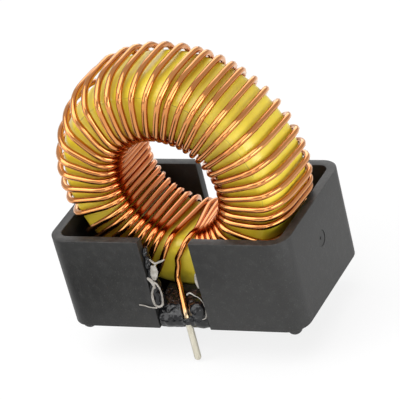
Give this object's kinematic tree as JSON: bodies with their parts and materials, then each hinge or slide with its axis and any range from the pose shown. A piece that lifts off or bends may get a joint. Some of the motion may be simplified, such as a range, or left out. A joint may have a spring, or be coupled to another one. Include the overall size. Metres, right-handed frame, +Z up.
{
  "type": "toroidal inductor",
  "caption": "Toroidal inductor: a yellow coated powder ring wound with enamelled copper wire, on edge in a black slotted tray with feet, leads out at front and back.",
  "frame": {"origin": "on the circuit board's face, at the centre of the tray's footprint, level with the tips of the four feet", "axes": "+Z up from the board, +X along the tray's length, -Y towards the slot with the first lead; the leads run down -Z"},
  "size_m": [0.0356, 0.022, 0.042],
  "materials": {
    "moulding": "matte black glass-filled moulding",
    "core_coating": "satin yellow epoxy coating",
    "enamelled_wire": "glossy enamelled copper",
    "solder": "satin solder dip",
    "adhesive": "glossy black epoxy adhesive"
  },
  "bodies": {
    "root": {"tray": "moulding", "core": "core_coating", "winding": "enamelled_wire", "solder_front": "solder", "solder_back": "solder", "adhesive_front": "adhesive", "adhesive_back": "adhesive"}
  },
  "joints": []
}
